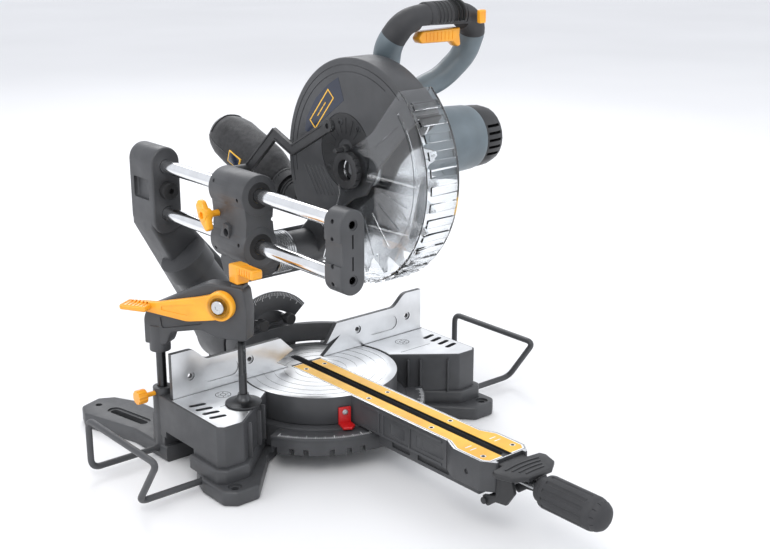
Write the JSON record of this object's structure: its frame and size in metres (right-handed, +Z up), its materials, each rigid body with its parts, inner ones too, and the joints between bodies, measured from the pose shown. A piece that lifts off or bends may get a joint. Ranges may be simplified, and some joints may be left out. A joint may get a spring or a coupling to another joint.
{
  "type": "sliding compound miter saw",
  "caption": "Sliding compound miter saw with rotating table, tilting twin-rail arm, guarded circular blade, fence, hold-down clamp, work supports and dust bag.",
  "frame": {"origin": "middle of the footprint's bounding box, at bench level", "axes": "+X to the operator's right, +Y away from the operator, +Z up"},
  "size_m": [0.608, 0.75, 0.5576],
  "materials": {
    "casting": "powder-coated charcoal casting, satin",
    "plastic": "fine-grained black moulding",
    "slate": "slate grey moulding, satin",
    "grip": "soft black overmould",
    "yellow": "amber moulding, semi-gloss",
    "plate": "amber insert plate, satin",
    "red": "red moulding",
    "aluminium": "machined and lightly brushed",
    "chrome": "polished tube",
    "steel": "turned steel",
    "blade": "ground disc with carbide tips",
    "clear": "clear polycarbonate",
    "fabric": "woven dark cloth",
    "rubber": "black rubber",
    "copper": "wound core",
    "bronze": "sintered bushing"
  },
  "bodies": {
    "base": {"base_casting": "casting", "table_pivot_bolt": "steel", "fence_right": "aluminium", "fence_left": "aluminium", "fence_bridge": "casting", "miter_scale_plate": "casting"},
    "turntable": {"turntable": "casting", "kerf_plate_right": "plate", "kerf_plate_left": "plate", "miter_pointer": "red", "bevel_scale": "casting", "bevel_stop_right": "plastic", "bevel_stop_left": "plastic", "bevel_pivot_bolt": "steel"},
    "miter_lock": {"miter_lock_rod": "steel", "miter_lock_grip": "grip"},
    "detent": {"detent_lever": "plastic"},
    "bevel_arm": {"bevel_arm": "casting", "rail_upper": "chrome", "rail_lower": "chrome", "rail_front_block": "casting", "rail_bumper": "rubber"},
    "bevel_lock": {"bevel_lock_lever": "plastic"},
    "carriage": {"carriage": "casting", "bushing_upper": "bronze", "bushing_lower": "bronze", "chop_pivot_shaft": "steel", "link_pivot_screw": "steel"},
    "slide_lock": {"slide_lock_knob": "yellow"},
    "head": {"upper_guard": "casting", "gear_case": "casting", "head_spring": "steel", "motor_housing": "slate", "motor_cap": "plastic", "handle_frame": "slate", "handle_grip": "grip", "dust_port": "plastic", "bag_collar": "plastic", "dust_bag": "fabric"},
    "trigger": {"trigger": "yellow"},
    "lock_off": {"lock_off_button": "yellow"},
    "arbor": {"blade": "blade", "outer_flange": "steel", "inner_flange": "steel", "arbor_shaft": "steel", "spindle_gear": "steel"},
    "armature": {"armature": "copper", "pinion_gear": "steel"},
    "lower_guard": {"lower_guard": "clear", "guard_hub": "plastic"},
    "guard_link": {"guard_link": "plastic"},
    "clamp": {"clamp_post": "steel", "clamp_body": "casting", "clamp_cam_pin": "steel"},
    "clamp_screw": {"clamp_spindle": "steel", "clamp_tee_handle": "yellow"},
    "clamp_cam": {"clamp_cam_lever": "yellow"},
    "post_knob": {"post_knob": "yellow"},
    "left_extension": {"extension_wire_left": "casting"},
    "right_extension": {"extension_wire_right": "casting"}
  },
  "joints": [
    {"name": "miter_swing", "type": "hinge", "parent": "base", "child": "turntable", "pos_m": [0, 0.111, 0.0865], "axis": [0, 0, 1], "range_deg": [-45, 22.5]},
    {"name": "miter_lock_turn", "type": "hinge", "parent": "turntable", "child": "miter_lock", "pos_m": [0, -0.289, 0.0655], "axis": [0, 1, 0], "range_deg": [-90, 90]},
    {"name": "detent_squeeze", "type": "hinge", "parent": "turntable", "child": "detent", "pos_m": [0, -0.241, 0.0745], "axis": [1, 0, 0], "range_deg": [0, 4], "stiffness_Nm_per_rad": 2, "springref_deg": -28.65},
    {"name": "bevel_tilt", "type": "hinge", "parent": "turntable", "child": "bevel_arm", "pos_m": [0, 0.301, 0.0865], "axis": [0, -1, 0], "range_deg": [-45, 0]},
    {"name": "bevel_lock_turn", "type": "hinge", "parent": "bevel_arm", "child": "bevel_lock", "pos_m": [0, 0.367, 0.0865], "axis": [0, 1, 0], "range_deg": [-30, 60]},
    {"name": "rail_slide", "type": "slide", "parent": "bevel_arm", "child": "carriage", "axis": [0, 1, 0], "range_m": [-0.115, 0.065]},
    {"name": "slide_lock_turn", "type": "hinge", "parent": "carriage", "child": "slide_lock", "pos_m": [-0.128, 0.149, 0.3085], "axis": [1, 0, 0], "range_deg": [-60, 60]},
    {"name": "chop", "type": "hinge", "parent": "carriage", "child": "head", "pos_m": [0, 0.161, 0.2385], "axis": [1, 0, 0], "range_deg": [0, 56], "stiffness_Nm_per_rad": 14, "springref_deg": -91.67},
    {"name": "trigger_pull", "type": "hinge", "parent": "head", "child": "trigger", "pos_m": [0.131, 0.001, 0.5235], "axis": [0, 1, 0], "range_deg": [0, 4], "stiffness_Nm_per_rad": 0.6, "springref_deg": -17.19},
    {"name": "lock_off_press", "type": "slide", "parent": "head", "child": "lock_off", "axis": [0, 1, 0], "range_m": [0, 0.002], "stiffness_N_per_m": 600, "springref_m": -0.003},
    {"name": "blade_spin", "type": "hinge", "parent": "head", "child": "arbor", "pos_m": [0, 0.014, 0.3705], "axis": [1, 0, 0], "continuous": true},
    {"name": "armature_spin", "type": "hinge", "parent": "head", "child": "armature", "pos_m": [0, 0.0495, 0.3765], "axis": [1, 0, 0], "continuous": true},
    {"name": "guard_turn", "type": "hinge", "parent": "head", "child": "lower_guard", "pos_m": [0, 0.014, 0.3705], "axis": [1, 0, 0], "range_deg": [-122, 2]},
    {"name": "guard_link_swing", "type": "hinge", "parent": "carriage", "child": "guard_link", "pos_m": [-0.074, 0.189, 0.3445], "axis": [1, 0, 0], "range_deg": [-2, 57]},
    {"name": "clamp_height", "type": "slide", "parent": "base", "child": "clamp", "axis": [0, 0, 1], "range_m": [0, 0.03]},
    {"name": "clamp_screw_feed", "type": "slide", "parent": "clamp", "child": "clamp_screw", "axis": [0, 0, 1], "range_m": [0, 0.02]},
    {"name": "clamp_cam_turn", "type": "hinge", "parent": "clamp", "child": "clamp_cam", "pos_m": [-0.15064, 0.09323, 0.2145], "axis": [0.8699, 0.4932, 0], "range_deg": [0, 40]},
    {"name": "post_knob_turn", "type": "hinge", "parent": "base", "child": "post_knob", "pos_m": [-0.212, 0.175, 0.0875], "axis": [1, 0, 0], "range_deg": [-180, 180]},
    {"name": "left_extension_slide", "type": "slide", "parent": "base", "child": "left_extension", "axis": [-1, 0, 0], "range_m": [-0.05, 0.02]},
    {"name": "right_extension_slide", "type": "slide", "parent": "base", "child": "right_extension", "axis": [1, 0, 0], "range_m": [-0.05, 0.02]}
  ],
  "couplings": [
    {"joint": "armature_spin", "follows": "blade_spin", "ratio": -3},
    {"joint": "guard_turn", "follows": "chop", "ratio": -2.17},
    {"joint": "guard_link_swing", "follows": "chop", "ratio": 1}
  ]
}
